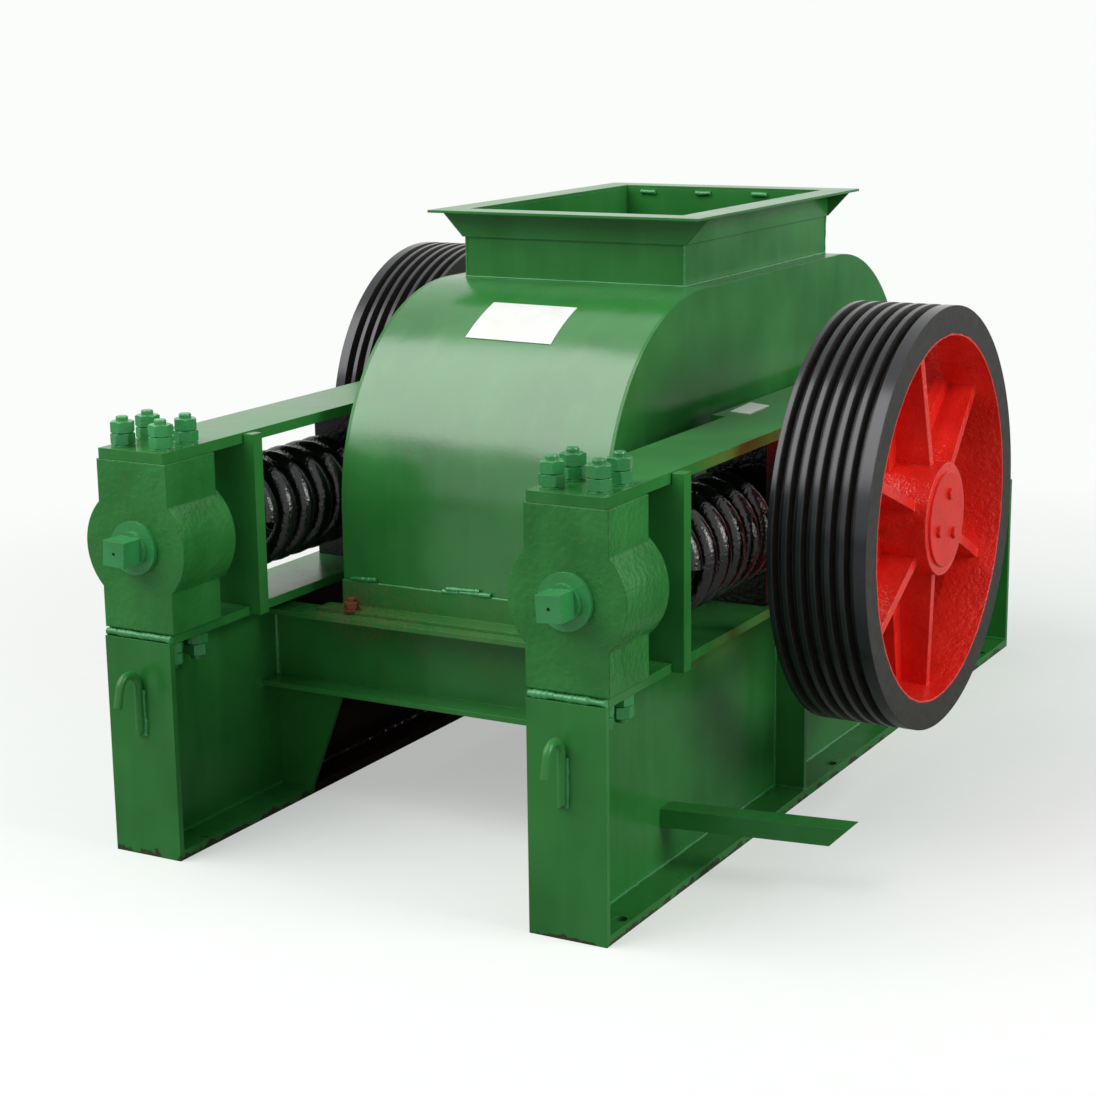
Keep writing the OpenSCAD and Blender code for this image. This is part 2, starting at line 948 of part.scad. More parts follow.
module base_angle_rear() {
    translate([0, 2 * mid_y, 0])
    mirror([0, 1, 0])
    base_angle();
}

module hopper_box() {
    hopper_walls();
}

module hopper_rim() {
    hopper_ring();
}

module lifting_hook_left() {
    translate([-girder_x + 2, 0, 0])
    lifting_hook();
}

module lifting_hook_right() {
    translate([girder_x - 4, 0, 0])
    lifting_hook();
}

module guard_bar() {
    guard_angle();
}

girder_left();
girder_right();
front_plate_left();
front_plate_right();
rear_plate_left();
rear_plate_right();
crossbeam_front();
crossbeam_rear();
tension_block_left();
tension_block_right();
adjusting_screw_left();
adjusting_screw_right();
spring_seat_left();
spring_seat_right();
spring_left();
spring_right();
top_plate_left();
top_plate_right();
sliding_bearing_left();
sliding_bearing_right();
fixed_bearing_left();
fixed_bearing_right();
front_roller();
front_shaft();
rear_roller();
rear_shaft();
pulley_right();
pulley_left();
hub_cap_right();
hub_cap_left();
housing_front();
housing_top();
housing_rear();
housing_side_left();
housing_side_right();
housing_skirt_left();
housing_skirt_right();
base_angle_front();
base_angle_rear();
hopper_box();
hopper_rim();
lifting_hook_left();
lifting_hook_right();
guard_bar();
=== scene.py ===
import math
import random

import bpy
from mathutils import Matrix, Vector


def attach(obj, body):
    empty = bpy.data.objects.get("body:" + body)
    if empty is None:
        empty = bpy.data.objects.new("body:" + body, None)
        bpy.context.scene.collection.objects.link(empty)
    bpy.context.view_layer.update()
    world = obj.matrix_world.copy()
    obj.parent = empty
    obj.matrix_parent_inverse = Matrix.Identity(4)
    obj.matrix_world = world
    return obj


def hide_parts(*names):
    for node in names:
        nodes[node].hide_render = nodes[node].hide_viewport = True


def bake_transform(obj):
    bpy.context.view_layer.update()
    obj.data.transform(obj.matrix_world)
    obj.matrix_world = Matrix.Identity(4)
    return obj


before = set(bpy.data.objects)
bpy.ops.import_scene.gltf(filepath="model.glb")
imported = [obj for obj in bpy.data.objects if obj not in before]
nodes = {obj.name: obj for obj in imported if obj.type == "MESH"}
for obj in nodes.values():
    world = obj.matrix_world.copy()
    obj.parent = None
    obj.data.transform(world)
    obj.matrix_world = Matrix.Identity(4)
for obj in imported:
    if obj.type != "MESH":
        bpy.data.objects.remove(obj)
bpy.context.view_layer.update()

mm = 0.001

# Shared places of the machine, in millimetres
rollerAxes = (-162, 493)
midY = sum(rollerAxes) / 2
shaftZ = 556
shoulderR = 385


# Colour and node helpers

def toLinear(hexCode):
    channels = [int(hexCode[i:i + 2], 16) / 255 for i in (1, 3, 5)]
    return tuple(c / 12.92 if c <= 0.04045 else ((c + 0.055) / 1.055) ** 2.4 for c in channels) + (1.0,)


def addNode(tree, kind, settings=None, links=None):
    node = tree.nodes.new(kind)
    for key, value in (settings or {}).items():
        if isinstance(key, str) and hasattr(node, key):
            setattr(node, key, value)
        else:
            node.inputs[key].default_value = value
    for key, socket in (links or {}).items():
        tree.links.new(socket, node.inputs[key])
    return node


def newMaterial(name):
    material = bpy.data.materials.new(name)
    material.use_nodes = True
    tree = material.node_tree
    tree.nodes.clear()
    return material, tree


def closeMaterial(tree, shader, normal=None):
    if normal is not None:
        tree.links.new(normal, shader.inputs["Normal"])
    addNode(tree, "ShaderNodeOutputMaterial", {}, {"Surface": shader.outputs[0]})


def spread(tree, coords, sizeMm, detail=3.0, roughness=0.55, squash=(1, 1, 1), shift=0.0):
    placed = addNode(tree, "ShaderNodeMapping", {"Scale": squash, "Location": (shift, shift * 0.7, -shift)},
                     {"Vector": coords})
    return addNode(tree, "ShaderNodeTexNoise",
                   {"Scale": 1.0 / (sizeMm * mm), "Detail": detail, "Roughness": roughness},
                   {"Vector": placed.outputs[0]}).outputs[0]


def remap(tree, value, fromLow, fromHigh, toLow, toHigh):
    return addNode(tree, "ShaderNodeMapRange",
                   {"From Min": fromLow, "From Max": fromHigh, "To Min": toLow, "To Max": toHigh},
                   {"Value": value}).outputs[0]


def blendColours(tree, factor, first, second):
    node = addNode(tree, "ShaderNodeMix", {"data_type": "RGBA"}, {0: factor})
    for index, colour in ((6, first), (7, second)):
        if isinstance(colour, str):
            node.inputs[index].default_value = toLinear(colour)
        else:
            tree.links.new(colour, node.inputs[index])
    return node.outputs[2]


def calc(tree, operation, first, second=None, third=None):
    node = addNode(tree, "ShaderNodeMath", {"operation": operation})
    for index, value in enumerate((first, second, third)):
        if value is None:
            continue
        if isinstance(value, (int, float)):
            node.inputs[index].default_value = value
        else:
            tree.links.new(value, node.inputs[index])
    return node.outputs[0]


def roundedNormal(tree, radiusMm):
    return addNode(tree, "ShaderNodeBevel", {"samples": 4, "Radius": radiusMm * mm}).outputs[0]


def relief(tree, layers, normal):
    for height, distanceMm, strength in layers:
        normal = addNode(tree, "ShaderNodeBump", {"Distance": distanceMm * mm, "Strength": strength},
                         {"Height": height, "Normal": normal}).outputs[0]
    return normal


# Finishes of the paint shop

def brushedEnamel(name, look):
    material, tree = newMaterial(name)
    coords = addNode(tree, "ShaderNodeTexCoord").outputs["Object"]
    axes = addNode(tree, "ShaderNodeSeparateXYZ", {}, {"Vector": coords})
    patches = spread(tree, coords, look["patchMm"], 3.0)
    runs = spread(tree, coords, look["runMm"], 2.0, 0.5, (1, 1, 0.16), 3.1)
    grime = spread(tree, coords, look["grimeMm"], 5.0, 0.7, (1, 1, 1), 7.3)
    tone = blendColours(tree, remap(tree, patches, 0.36, 0.66, 0, 1), look["deep"], look["fresh"])
    tone = blendColours(tree, remap(tree, runs, 0.50, 0.80, 0, look["runs"]), tone, look["thin"])
    tone = blendColours(tree, remap(tree, grime, 0.56, 0.80, 0, look["grime"]), tone, look["dirt"])
    edge = roundedNormal(tree, look["edgeMm"])
    if look.get("chips"):
        flat = addNode(tree, "ShaderNodeNewGeometry").outputs["Normal"]
        bend = addNode(tree, "ShaderNodeVectorMath", {"operation": "DOT_PRODUCT"},
                       {0: flat, 1: edge}).outputs["Value"]
        worn = calc(tree, "MULTIPLY", remap(tree, bend, 0.995, 0.90, 0, 1),
                    remap(tree, spread(tree, coords, 34, 5.0, 0.7, (1, 1, 1), 1.7), 0.60, 0.68, 0,
                          look["chips"]))
        tone = blendColours(tree, worn, tone, look["darkMaroon"])
    if look.get("foot"):
        ragged = spread(tree, coords, 45, 4.0, 0.7)
        low = calc(tree, "LESS_THAN", axes.outputs["Z"],
                   calc(tree, "MULTIPLY", calc(tree, "SUBTRACT", ragged, 0.42), look["foot"] * mm * 4))
        tone = blendColours(tree, calc(tree, "MULTIPLY", low, 0.8), tone, look["darkMaroon"])
    # Dark maroon on the inner sides of the girders between the crossbeams, below the top flange, with a
    # ragged front and rear edge
    if look.get("maroonInnerSides"):
        zone = look["maroonInnerSides"]
        inner = calc(tree, "LESS_THAN", calc(tree, "ABSOLUTE", axes.outputs["X"]), zone["x"] * mm)
        ragged = calc(tree, "MULTIPLY_ADD", spread(tree, coords, 60, 3.0), 0.03, axes.outputs["Y"])
        behind = calc(tree, "GREATER_THAN", ragged, (zone["yFront"] + 15) * mm)
        ahead = calc(tree, "LESS_THAN", ragged, (zone["yRear"] + 15) * mm)
        under = calc(tree, "LESS_THAN", axes.outputs["Z"], zone["top"] * mm)
        maroonMask = calc(tree, "MULTIPLY", calc(tree, "MULTIPLY", inner, behind),
                      calc(tree, "MULTIPLY", ahead, under))
        tone = blendColours(tree, maroonMask, tone, look["darkMaroon"])
    if look.get("stains"):
        for spot, reachMm, share in look["stains"]:
            centre = tuple(v * mm for v in spot)
            away = addNode(tree, "ShaderNodeVectorMath", {"operation": "DISTANCE", 1: centre},
                           {0: coords}).outputs["Value"]
            speckled = calc(tree, "MULTIPLY", remap(tree, away, 0, reachMm * mm, 1, 0),
                            remap(tree, spread(tree, coords, 9, 5.0, 0.75), 0.42, 0.56, 0, share))
            tone = blendColours(tree, speckled, tone, look["rustStain"])
    normal = relief(tree, [
        (spread(tree, coords, 170, 2.0), look["waveMm"], 1.0),
        (spread(tree, coords, look["skinMm"], 2.0, 0.5), look["skinDepthMm"], look["skin"]),
    ], edge)
    gloss = remap(tree, patches, 0.3, 0.7, look["roughLow"], look["roughHigh"])
    shader = addNode(tree, "ShaderNodeBsdfPrincipled", {"IOR": 1.5, "Specular IOR Level": look["specular"]},
                     {"Base Color": tone, "Roughness": gloss})
    closeMaterial(tree, shader, normal)
    return material


greenPaint = {
    "deep": "#286F2F", "fresh": "#34813B", "thin": "#44904C", "dirt": "#4A5A3C", "darkMaroon": "#3A1B1A",
              "rustStain": "#7A6A4A",
    "patchMm": 260, "runMm": 46, "grimeMm": 60, "runs": 0.25, "grime": 0.30, "edgeMm": 1.6,
    "chips": 0.8, "foot": 16, "waveMm": 1.4, "skinMm": 7, "skinDepthMm": 0.35, "skin": 0.35,
    "roughLow": 0.16, "roughHigh": 0.28, "specular": 0.30,
}
maroonInnerZone = {"x": 414.5, "yFront": -561, "yRear": 892, "top": 389}
# Alkyd enamel brushed on hot-rolled plate: mid green, wet gloss with an uneven skin that bends the sky in it
plateEnamel = brushedEnamel("alkyd_enamel_on_rolled_plate", greenPaint)
# The same enamel on the girders, dark maroon on their inner sides between the crossbeams, below the top
# flange
girderEnamel = brushedEnamel("alkyd_enamel_on_girders", dict(greenPaint, maroonInnerSides=maroonInnerZone))
# The same enamel on the bent housing sheets: laid on thicker, so the open sky shows in them
sheetEnamel = brushedEnamel("alkyd_enamel_thick_on_bent_sheet", dict(
    greenPaint, specular=0.8, roughLow=0.18, roughHigh=0.26, waveMm=2.0))
# The same enamel on the crossbeams and their angles, with site dirt and rust dust round the bolts
footEnamel = brushedEnamel("alkyd_enamel_with_rust_dust", dict(
    greenPaint, stains=[((-229, -590, 376), 95, 0.8), ((-120, -600, 374), 90, 0.5),
                        ((40, -610, 374), 110, 0.45),
                        ((190, -600, 374), 90, 0.4)]))
# The same enamel on sand castings: the grain of the mould breaks the gloss into small sparks
castEnamel = brushedEnamel("alkyd_enamel_on_sand_casting", dict(
    greenPaint, skinMm=11, skinDepthMm=2.2, skin=0.9, waveMm=2.4, edgeMm=4.0, foot=0, patchMm=120,
                                                                chips=0.3))
# Thick enamel run over weld beads and nuts: wetter where it pools, and a lighter green than on the plates,
# which is a painted highlight for the light these small rounded parts catch
pooledEnamelWithHighlight = brushedEnamel("alkyd_enamel_pooled_on_welds_painted_highlight", dict(
    greenPaint, fresh="#3F9A58", deep="#2D8244", skinMm=5, skinDepthMm=0.8, skin=0.8, foot=0, chips=0.3,
    roughLow=0.12, roughHigh=0.24, edgeMm=0.8, specular=0.5))
# The same on the girders' long welds, a lighter green than the plates as a painted highlight, and dark
# maroon on the girders' inner sides
girderBeadEnamelWithHighlight = brushedEnamel("alkyd_enamel_on_girder_welds_painted_highlight", dict(
    greenPaint, fresh="#348E4C", deep="#267A3A", skinMm=5, skinDepthMm=0.5, skin=0.6, foot=0, chips=0.3,
    edgeMm=0.8, specular=0.35, maroonInnerSides=dict(maroonInnerZone, top=391)))
# Black gloss enamel on the spring steel: deep black with a wrinkled skin that sparkles along each coil
springEnamel = brushedEnamel("black_gloss_enamel_on_spring_steel", dict(
    greenPaint, deep="#050506", fresh="#0A0A0C", thin="#121214", dirt="#201F1C", darkMaroon="#1A1512", foot=0,
                                                                        chips=0,
    skinMm=6, skinDepthMm=1.3, skin=1.0, waveMm=1.2, roughLow=0.10, roughHigh=0.22, specular=0.55,
                                                                        grime=0.2))
# Near-black gloss enamel on the bearing castings; the black also stands in for the deep shade under the top
# plate where they sit: painted shade
bearingBlackWithShade = brushedEnamel("black_enamel_and_painted_shade_on_bearing_castings", dict(
    greenPaint, deep="#060607", fresh="#0C0C0D", thin="#141416", dirt="#26241F", darkMaroon="#1A1512", foot=0,
                                                                    chips=0,
    skinMm=9, skinDepthMm=1.6, skin=0.9, waveMm=2.0, edgeMm=4.0, specular=0.3))
# Red gloss enamel on the caps, brushed over cast iron
capEnamel = brushedEnamel("red_enamel_on_cast_iron", dict(
    greenPaint, deep="#D8231A", fresh="#EA3226", thin="#F0463A", dirt="#8A2018", darkMaroon="#6A2018", foot=0,
                                                          chips=0.15,
    patchMm=70, runMm=30, skinMm=8, skinDepthMm=1.0, skin=0.6, waveMm=1.0, roughLow=0.24, roughHigh=0.38,
                                                          specular=0.28,
    grime=0.12, edgeMm=3.0))

pulleyPaint = {
    "redDeep": "#E2231A", "redFresh": "#F53225", "redDirt": "#9A1A10", "black": "#040405",
               "ridgeHighlight": "#222228",
    "face": "#161616", "faceWorn": "#2C2622", "innerMm": 326, "faceMm": 358, "sandMm": 11,
               "sandDepthMm": 3.2,
}


def pulleyEnamel(name, axisY, axisZ, look):
    # Cast iron belt pulley: black gloss enamel on the turned rim, with a bluish grey painted highlight along
    # its belt ridges, red gloss enamel brushed over the spokes
    material, tree = newMaterial(name)
    coords = addNode(tree, "ShaderNodeTexCoord").outputs["Object"]
    centred = addNode(tree, "ShaderNodeMapping", {"Location": (0, -axisY, -axisZ), "Scale": (0, 1, 1)},
                      {"Vector": coords}).outputs[0]
    radius = addNode(tree, "ShaderNodeVectorMath", {"operation": "LENGTH"}, {0: centred}).outputs["Value"]
    wavy = calc(tree, "MULTIPLY_ADD", calc(tree, "SUBTRACT", spread(tree, coords, 30, 3.0), 0.5), 0.006,
                radius)
    inside = calc(tree, "LESS_THAN", wavy, look["innerMm"] * mm)
    facing = addNode(tree, "ShaderNodeSeparateXYZ", {},
                     {"Vector": addNode(tree, "ShaderNodeNewGeometry").outputs["Normal"]}).outputs["X"]
    onFace = calc(tree, "GREATER_THAN", calc(tree, "ABSOLUTE", facing), 0.9)
    patches = spread(tree, coords, 90, 3.0)
    grime = spread(tree, coords, 42, 5.0, 0.7, (1, 1, 1), 4.0)
    red = blendColours(tree, remap(tree, patches, 0.35, 0.65, 0, 1), look["redDeep"], look["redFresh"])
    red = blendColours(tree, remap(tree, grime, 0.58, 0.75, 0, 0.4), red, look["redDirt"])
    scuffs = spread(tree, coords, 16, 5.0, 0.7, (6, 1, 1), 2.0)
    # The belt grooves outside the face radius turn from black to bluish grey: a painted highlight of the sky
    # on the ridges
    grooveAndRidgeHighlight = blendColours(tree, remap(tree, radius, look["faceMm"] * mm, (look["faceMm"] + 10) * mm, 0, 1),
                          look["black"], look["ridgeHighlight"])
    face = blendColours(tree, remap(tree, scuffs, 0.4, 0.62, 0, 1), look["face"], look["faceWorn"])
    outside = blendColours(tree, onFace, grooveAndRidgeHighlight, face)
    tone = blendColours(tree, inside, outside, red)
    sand = spread(tree, coords, look["sandMm"], 3.0, 0.6)
    sanded = calc(tree, "MULTIPLY", sand, inside)
    normal = relief(tree, [
        (spread(tree, coords, 110, 2.0), 1.0, 0.5),
        (sanded, look["sandDepthMm"], 0.8),
    ], roundedNormal(tree, 2.4))
    matte = calc(tree, "MULTIPLY", onFace, calc(tree, "SUBTRACT", 1.0, inside))
    roughness = calc(tree, "MULTIPLY_ADD", matte, 0.30, 0.20)
    shader = addNode(tree, "ShaderNodeBsdfPrincipled", {"IOR": 1.5, "Specular IOR Level": 0.5},
                     {"Base Color": tone, "Roughness": roughness})
    closeMaterial(tree, shader, normal)
    return material


def bareSteel(name, look):
    material, tree = newMaterial(name)
    coords = addNode(tree, "ShaderNodeTexCoord").outputs["Object"]
    patches = spread(tree, coords, look["patchMm"], 4.0, 0.65)
    grain = spread(tree, coords, look["grainMm"], 2.0, 0.6, look["stretch"])
    rust = remap(tree, patches, look["rustFrom"], look["rustFrom"] + 0.16, 0, 1)
    tone = blendColours(tree, remap(tree, grain, 0.35, 0.65, 0, 1), look["dark"], look["light"])
    tone = blendColours(tree, rust, tone, look["rust"])
    metal = calc(tree, "SUBTRACT", 1.0, rust)
    roughness = calc(tree, "MULTIPLY_ADD", rust, 0.45, look["rough"])
    normal = relief(tree, [(grain, look["grainDepthMm"], 0.6), (patches, 0.8, 0.5)],
                    roundedNormal(tree, 2.0))
    shader = addNode(tree, "ShaderNodeBsdfPrincipled", {},
                     {"Base Color": tone, "Roughness": roughness, "Metallic": metal})
    closeMaterial(tree, shader, normal)
    return material


# Manganese steel casting, unpainted: dull grey skin with brown scale, because the teeth only polish in use
rollerSteel = bareSteel("manganese_steel_casting", {
    "dark": "#5A5652", "light": "#77726C", "rust": "#5E3B28", "patchMm": 90, "grainMm": 5,
                                                    "stretch": (1, 1, 1),
    "rustFrom": 0.46, "rough": 0.42, "grainDepthMm": 0.8})
# Turned carbon steel shaft: fine rings from the tool, thin brown film of storage rust
shaftSteel = bareSteel("turned_carbon_steel", {
    "dark": "#84817C", "light": "#A5A29C", "rust": "#6B4630", "patchMm": 70, "grainMm": 2,
                                               "stretch": (14, 1, 1),
    "rustFrom": 0.55, "rough": 0.26, "grainDepthMm": 0.15})
# Uncoated carbon steel bolts left unpainted: even orange-brown rust
rustySteel = bareSteel("rusted_bolt_steel", {
    "dark": "#6E4A3A", "light": "#8A5C46", "rust": "#7C3F28", "patchMm": 16, "grainMm": 2,
                                             "stretch": (1, 1, 1),
    "rustFrom": 0.36, "rough": 0.45, "grainDepthMm": 0.5})


def printedCard(name, look):
    # Thin white PVC plate with nothing on it, soft sheen and slight yellowing
    material, tree = newMaterial(name)
    coords = addNode(tree, "ShaderNodeTexCoord").outputs["Object"]
    stain = spread(tree, coords, 50, 4.0, 0.6)
    tone = blendColours(tree, remap(tree, stain, 0.4, 0.7, 0, 0.6), look["sheet"], look["stain"])
    normal = relief(tree, [(spread(tree, coords, 90, 1.0), 1.0, 0.5)], roundedNormal(tree, 0.3))
    shader = addNode(tree, "ShaderNodeBsdfPrincipled", {"IOR": 1.53},
                     {"Base Color": tone, "Roughness": remap(tree, stain, 0.3, 0.7, 0.30, 0.45)})
    closeMaterial(tree, shader, normal)
    return material


cardPlastic = printedCard("white_pvc_sheet", {"sheet": "#ECEDE8", "stain": "#DDDCD2"})

pulleyRight = pulleyEnamel("black_and_red_enamel_on_cast_iron_right", rollerAxes[0] * mm, shaftZ * mm,
                           pulleyPaint)
pulleyLeft = pulleyEnamel("black_and_red_enamel_on_cast_iron_left", rollerAxes[1] * mm, shaftZ * mm,
                          pulleyPaint)

finishes = {
    "girder": girderEnamel, "tension_block": castEnamel, "sliding_bearing": bearingBlackWithShade,
            "fixed_bearing": bearingBlackWithShade,
    "crossbeam": footEnamel, "housing_front": sheetEnamel, "housing_top": sheetEnamel,
            "base_angle": footEnamel,
    "adjusting_screw": pooledEnamelWithHighlight, "spring": springEnamel, "front_roller": rollerSteel,
            "rear_roller": rollerSteel,
    "front_shaft": shaftSteel, "rear_shaft": shaftSteel, "pulley_right": pulleyRight,
            "pulley_left": pulleyLeft,
    "hub_cap": capEnamel, "spring_seat": plateEnamel,
}
for name, node in nodes.items():
    fits = [key for key in finishes if name.startswith(key)]
    finish = finishes[max(fits, key=len)] if fits else plateEnamel
    if not node.material_slots:
        node.data.materials.append(finish)
    for slot in node.material_slots:
        slot.material = finish
print("finishes on", len(nodes), "nodes")


# Geometry Nodes helpers

def newTree(name, inputs):
    tree = bpy.data.node_groups.new(name, "GeometryNodeTree")
    tree.interface.new_socket("Geometry", in_out="INPUT", socket_type="NodeSocketGeometry")
    for label, kind, value in inputs:
        socket = tree.interface.new_socket(label, in_out="INPUT", socket_type=kind)
        if value is not None:
            socket.default_value = value
    tree.interface.new_socket("Geometry", in_out="OUTPUT", socket_type="NodeSocketGeometry")
    return tree, addNode(tree, "NodeGroupInput").outputs


def endTree(tree, geometry, material):
    real = addNode(tree, "GeometryNodeRealizeInstances", {}, {"Geometry": geometry})
    smooth = addNode(tree, "GeometryNodeSetShadeSmooth", {}, {"Geometry": real.outputs[0]})
    painted = addNode(tree, "GeometryNodeSetMaterial", {},
                      {"Geometry": smooth.outputs[0], "Material": material})
    addNode(tree, "NodeGroupOutput", {}, {"Geometry": painted.outputs[0]})


def guideObject(name, points, edges, attributes=None):
    mesh = bpy.data.meshes.new(name + "_guide")
    mesh.from_pydata([tuple(v * mm for v in p) for p in points], edges, [])
    for label, (kind, values) in (attributes or {}).items():
        field = mesh.attributes.new(label, kind, "POINT")
        for item, value in zip(field.data, values):
            if kind == "FLOAT_VECTOR":
                item.vector = value
            else:
                item.value = value
    guide = bpy.data.objects.new(name, mesh)
    bpy.context.scene.collection.objects.link(guide)
    return guide


def bake(guide, tree, values):
    modifier = guide.modifiers.new("make", "NODES")
    modifier.node_group = tree
    byLabel = {item.name: item.identifier for item in tree.interface.items_tree
               if item.item_type == "SOCKET" and item.in_out == "INPUT"}
    for label, value in values.items():
        modifier[byLabel[label]] = value
    depsgraph = bpy.context.evaluated_depsgraph_get()
    mesh = bpy.data.meshes.new_from_object(guide.evaluated_get(depsgraph))
    guide.modifiers.remove(modifier)
    guide.data = mesh
    mesh.name = guide.name
    return guide


def treeMath(tree, operation, *values):
    node = addNode(tree, "ShaderNodeMath", {"operation": operation})
    for index, value in enumerate(values):
        if isinstance(value, (int, float)):
            node.inputs[index].default_value = value
        else:
            tree.links.new(value, node.inputs[index])
    return node.outputs[0]


# Weld beads

def beadTree():
    tree, given = newTree("weld_bead", [
        ("Bead Radius", "NodeSocketFloat", 0.004), ("Ripple Pitch", "NodeSocketFloat", 0.008),
        ("Ring Step", "NodeSocketFloat", 0.0026), ("Ripple Depth", "NodeSocketFloat", 0.16),
        ("Unevenness", "NodeSocketFloat", 0.0012), ("Seed", "NodeSocketFloat", 0.0),
        ("Material", "NodeSocketMaterial", None)])
    curve = addNode(tree, "GeometryNodeMeshToCurve", {}, {"Mesh": given["Geometry"]})
    rings = addNode(tree, "GeometryNodeResampleCurve", {"mode": "LENGTH"},
                    {"Curve": curve.outputs[0], "Length": given["Ring Step"]})
    along = addNode(tree, "GeometryNodeSplineParameter").outputs["Length"]
    place = addNode(tree, "GeometryNodeInputPosition").outputs[0]
    drift = addNode(tree, "ShaderNodeTexNoise", {"noise_dimensions": "4D", "Scale": 38.0, "Detail": 2.0},
                    {"Vector": place, "W": given["Seed"]})
    stretched = treeMath(tree, "MULTIPLY_ADD", drift.outputs[0], 0.012, along)
    ripple = treeMath(tree, "FRACT", treeMath(tree, "DIVIDE", stretched, given["Ripple Pitch"]))
    dip = treeMath(tree, "MULTIPLY", treeMath(tree, "POWER", ripple, 2.2), given["Ripple Depth"])
    width = addNode(tree, "ShaderNodeMapRange", {"From Min": 0.3, "From Max": 0.7, "To Min": 0.72,
                                                 "To Max": 1.28},
                    {"Value": drift.outputs[0]}).outputs[0]
    radius = treeMath(tree, "MULTIPLY", treeMath(tree, "MULTIPLY", treeMath(tree, "SUBTRACT", 1.0, dip),
                                                 width), given["Bead Radius"])
    centred = addNode(tree, "ShaderNodeVectorMath", {"operation": "SUBTRACT", 1: (0.5, 0.5, 0.5)},
                      {0: drift.outputs[1]})
    shift = addNode(tree, "ShaderNodeVectorMath", {"operation": "SCALE"}, {0: centred.outputs[0]})
    tree.links.new(given["Unevenness"], shift.inputs["Scale"])
    moved = addNode(tree, "GeometryNodeSetPosition", {},
                    {"Geometry": rings.outputs[0], "Offset": shift.outputs[0]})
    profile = addNode(tree, "GeometryNodeCurvePrimitiveCircle", {"Resolution": 7, "Radius": 1.0})
    tube = addNode(tree, "GeometryNodeCurveToMesh", {"Fill Caps": True},
                   {"Curve": moved.outputs[0], "Profile Curve": profile.outputs[0]})
    tree.links.new(radius, tube.inputs["Scale"])
    endTree(tree, tube.outputs[0], given["Material"])
    return tree


def mirrored(paths):
    return [[(-x, y, z) for x, y, z in path] for path in paths]


def rectangle(x, yLow, yHigh, z):
    return [(-x, yLow, z), (x, yLow, z), (x, yHigh, z), (-x, yHigh, z), (-x, yLow, z)]


girder = {"x": 419, "web": 5.25, "front": -955, "rear": 1011, "foot": 16.5, "head": 389.5,
          "capFront": -960, "capRear": 1013, "capZ": 398, "capReach": 69, "footReach": 68, "footZ": 18,
          "stiffenerReach": 66, "stiffenerHalf": 5}
crossbeam = {"front": -570, "flange": -624.5, "low": 222, "high": 372, "inner": 413.75}
housing = {"half": 273, "front": -547, "rear": 878, "seamZ": 422, "roof": 941}
hopper = {"half": 232, "front": -155, "rear": 517, "rim": 1066}
beads = {
    "rootRadius": 4.6, "plateRadius": 3.8, "sheetRadius": 2.2, "capRadius": 7.0, "patchRadius": 5.0,
}


def weldPaths():
    g, c = girder, crossbeam
    roots = [[(g["x"] + side * g["web"], g["front"], z), (g["x"] + side * g["web"], g["rear"], z)]
             for side in (-1, 1) for z in (g["foot"], g["head"])]
    ends = []
    for y, step in ((g["front"], -1), (g["rear"], 1)):
        for side in (-1, 1):
            ends.append([(g["x"] + side * g["web"], y, g["foot"]), (g["x"] + side * g["web"], y, g["head"])])
        ends.append([(g["x"] - g["footReach"], y, g["footZ"]), (g["x"] + g["footReach"], y, g["footZ"])])
    for y in rollerAxes:
        for side in (-g["stiffenerHalf"], g["stiffenerHalf"]):
            ends.append([(g["x"] + g["web"], y + side, g["head"]), (g["x"] + g["web"], y + side, g["foot"]),
                         (g["x"] + g["stiffenerReach"], y + side, g["foot"])])
    beams = []
    for face in (c["front"], 2 * midY - c["front"]):
        beams.append([(c["inner"], face, c["low"]), (c["inner"], face, c["high"])])
    for y in (c["front"] - 2, 2 * midY - c["front"] + 2):
        near = c["flange"] if y < 0 else 2 * midY - c["flange"]
        for z in (c["low"], c["high"]):
            beams.append([(c["inner"], y, z), (c["inner"], near, z)])
    cappings = [[(g["x"] - g["capReach"], y, g["capZ"]), (g["x"] + g["capReach"], y, g["capZ"])]
                for y in (g["capFront"], g["capRear"])]
    return roots, ends, beams, cappings


def sheetPaths():
    h, p = housing, hopper
    paths = [[(-h["half"], h["front"] - 3, h["seamZ"]), (h["half"], h["front"] - 3, h["seamZ"])],
             [(-h["half"], h["rear"] + 3, h["seamZ"]), (h["half"], h["rear"] + 3, h["seamZ"])],
             rectangle(p["half"] + 1, p["front"] - 1, p["rear"] + 1, h["roof"] + 1)]
    for x in (-p["half"], p["half"]):
        for y in (p["front"], p["rear"]):
            paths.append([(x, y, h["roof"]), (x, y, p["rim"] - 4)])
    paths.append(rectangle(p["half"] + 1, p["front"] - 1, p["rear"] + 1, p["rim"] - 1))
    return paths


seamRuns = {"runs": ((-59, 43, 424), (-50, 20, 429), (-254, -199, 426), (120, 150, 424)), "rise": 2,
            "tacks": (-190, -60, 70, 170), "tackLong": 34, "inset": 9, "below": 8}


def patchPaths():
    # thick runs on the front sheet's seam, and tack welds inside the rim
    h, p = housing, hopper
    r = seamRuns
    paths = [[(x0, h["front"] - 3, z), (x1, h["front"] - 3, z + r["rise"])] for x0, x1, z in r["runs"]]
    for y in (p["front"] + r["inset"], p["rear"] - r["inset"]):
        paths += [[(x, y, p["rim"] - r["below"]), (x + r["tackLong"], y,
                                                   p["rim"] - r["below"])] for x in r["tacks"]]
    return paths


hooks = {"xs": (-417, 415), "half": 7, "y": -968.5, "low": 222, "high": 304, "foot": 229}


def hookPaths():
    paths, h = [], hooks
    for x in h["xs"]:
        for side in (-h["half"], h["half"]):
            paths.append([(x + side, h["y"], h["low"]), (x + side, h["y"], h["high"])])
        paths.append([(x - h["half"], h["y"], h["foot"]), (x + h["half"], h["y"], h["foot"])])
    return paths


